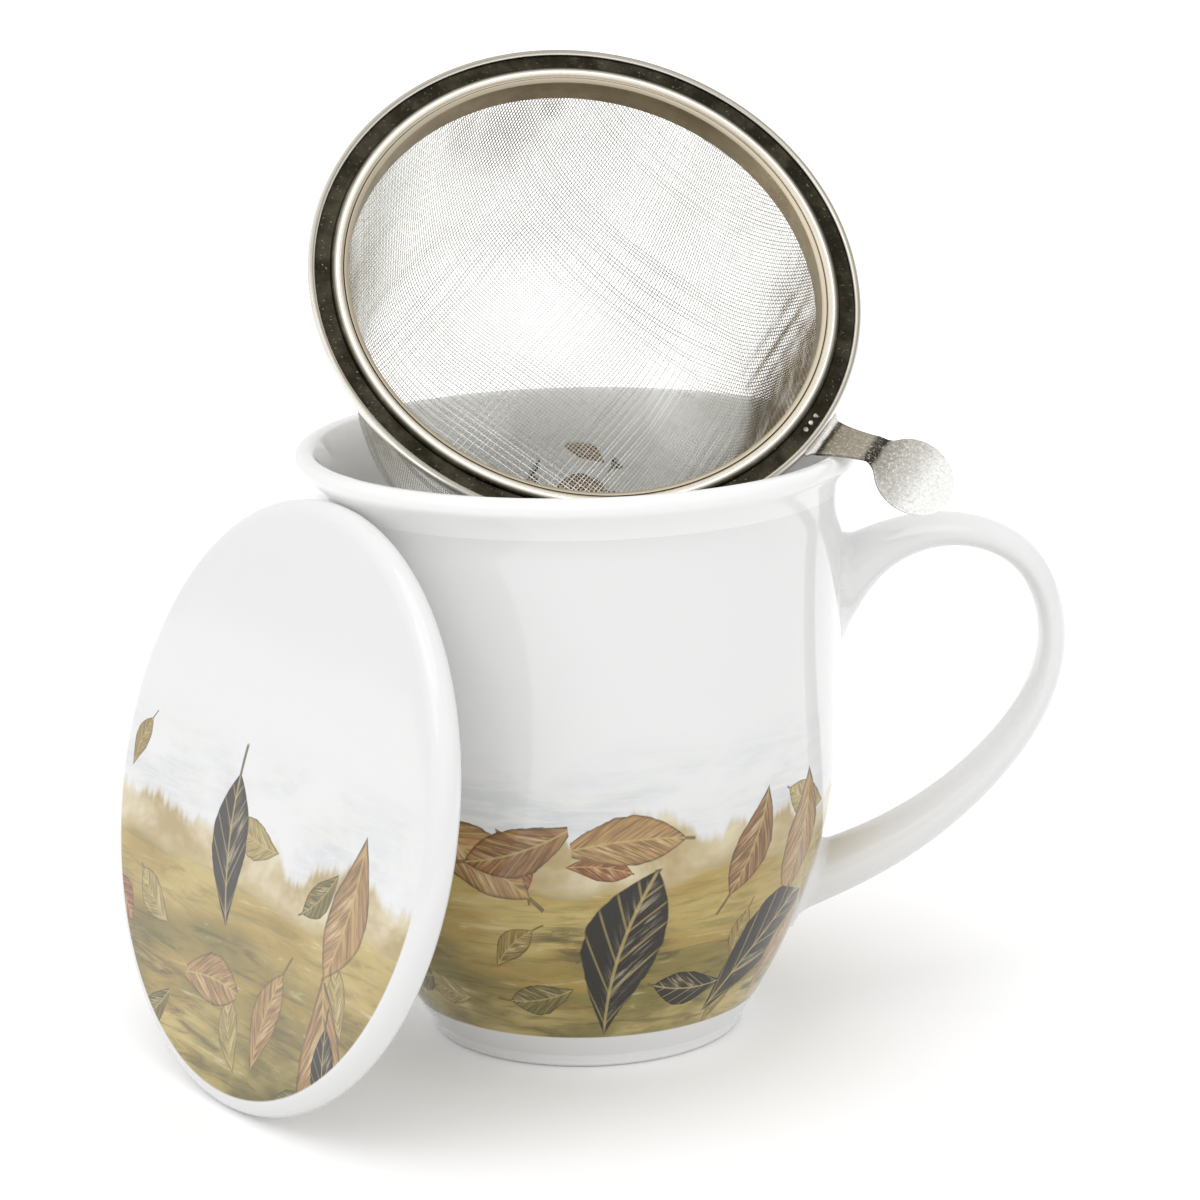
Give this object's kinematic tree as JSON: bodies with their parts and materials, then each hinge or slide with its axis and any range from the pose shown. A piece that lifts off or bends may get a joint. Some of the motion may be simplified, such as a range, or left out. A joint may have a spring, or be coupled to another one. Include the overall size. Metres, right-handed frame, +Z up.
{
  "type": "lidded tea mug with infuser",
  "caption": "Porcelain tea mug with an ear handle, a loose flat lid leaning on it, and a steel mesh infuser with a lifting tab resting tilted in its mouth.",
  "frame": {"origin": "centre of the mug's foot ring, on the surface the mug stands on", "axes": "+Z up along the mug's axis, +X from the mug's axis towards its handle, -Y towards the side that the infuser tips to"},
  "size_m": [0.1621, 0.1254, 0.164],
  "materials": {
    "mug_porcelain": "white glazed porcelain with a printed band of autumn leaves and grasses",
    "handle_porcelain": "white glazed porcelain",
    "lid_porcelain": "white glazed porcelain with a printed picture of autumn leaves and grasses",
    "rim_steel": "polished stamped stainless sheet",
    "band_steel": "satin stainless strip",
    "mesh_steel": "fine woven stainless wire cloth",
    "tab_steel": "tumbled stainless sheet",
    "weld_steel": "spot weld marks"
  },
  "bodies": {
    "mug": {"mug_body": "mug_porcelain", "mug_handle": "handle_porcelain"},
    "lid": {"lid": "lid_porcelain"},
    "infuser": {"infuser_rim": "rim_steel", "infuser_band": "band_steel", "infuser_mesh": "mesh_steel", "infuser_tab": "tab_steel", "infuser_welds": "weld_steel"}
  },
  "joints": [
    {"name": "lid_lift", "type": "slide", "parent": "mug", "child": "lid", "axis": [-0.5903, -0.3892, 0.7071], "range_m": [0, 0.12]},
    {"name": "infuser_lift", "type": "slide", "parent": "mug", "child": "infuser", "axis": [0, 0, 1], "range_m": [0, 0.12]}
  ]
}
